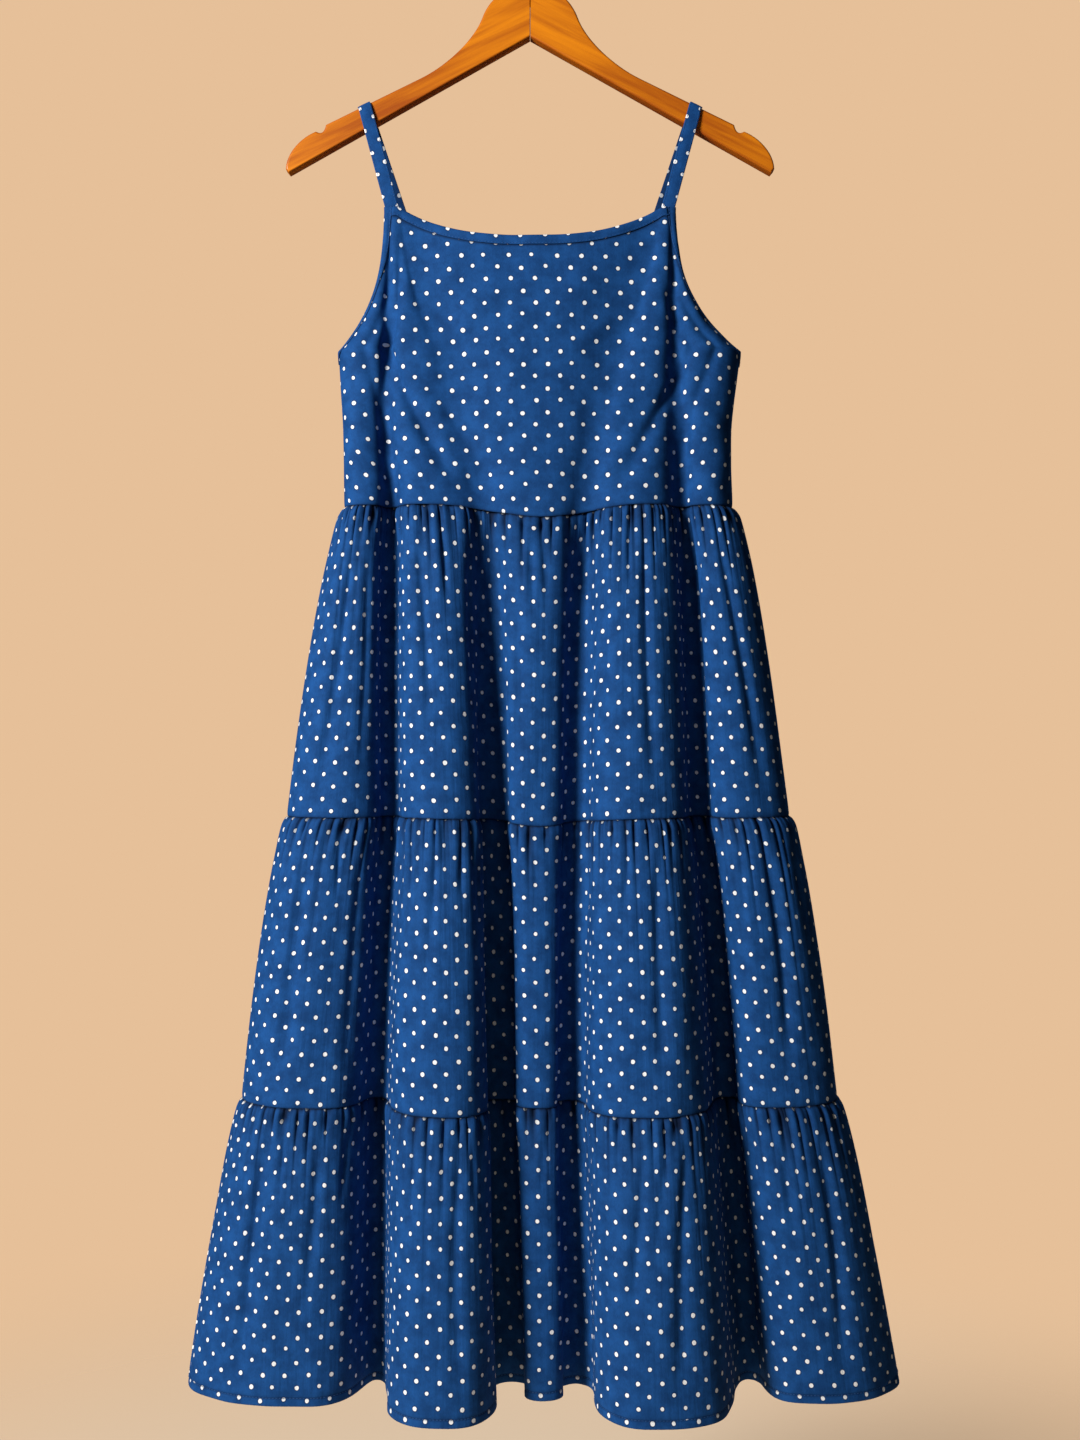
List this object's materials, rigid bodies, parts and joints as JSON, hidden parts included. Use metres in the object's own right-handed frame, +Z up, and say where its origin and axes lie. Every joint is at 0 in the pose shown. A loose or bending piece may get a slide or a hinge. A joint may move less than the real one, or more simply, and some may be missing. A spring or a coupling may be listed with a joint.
{
  "type": "tiered maxi dress with narrow straps on a wooden hanger",
  "caption": "Sleeveless maxi dress with narrow straps, a plain bodice and gathered skirt tiers in blue dotted cotton, hung on a wooden hanger with a steel hook.",
  "frame": {"origin": "inside top of the hanger's hook, where it rests on a rail", "axes": "+Z up, -Y out of the dress's front, +X to the right of someone who looks at the front; the side seams lie in the plane y = 0"},
  "size_m": [0.6472, 0.1848, 1.3336],
  "materials": {
    "dotted_cotton": "matte woven cotton with small off-white dots",
    "honey_wood": "satin varnish over honey-coloured wood",
    "polished_steel": "polished"
  },
  "bodies": {
    "root": {"bodice_front": "dotted_cotton", "bodice_back": "dotted_cotton", "neck_band_front": "dotted_cotton", "neck_band_back": "dotted_cotton", "armhole_band_left": "dotted_cotton", "armhole_band_right": "dotted_cotton", "strap_left": "dotted_cotton", "strap_right": "dotted_cotton", "tier_1_front": "dotted_cotton", "tier_1_back": "dotted_cotton", "tier_2_front": "dotted_cotton", "tier_2_back": "dotted_cotton", "tier_3_front": "dotted_cotton", "tier_3_back": "dotted_cotton", "hanger_arm_left": "honey_wood", "hanger_arm_right": "honey_wood", "hanger_hook": "polished_steel"}
  },
  "joints": []
}
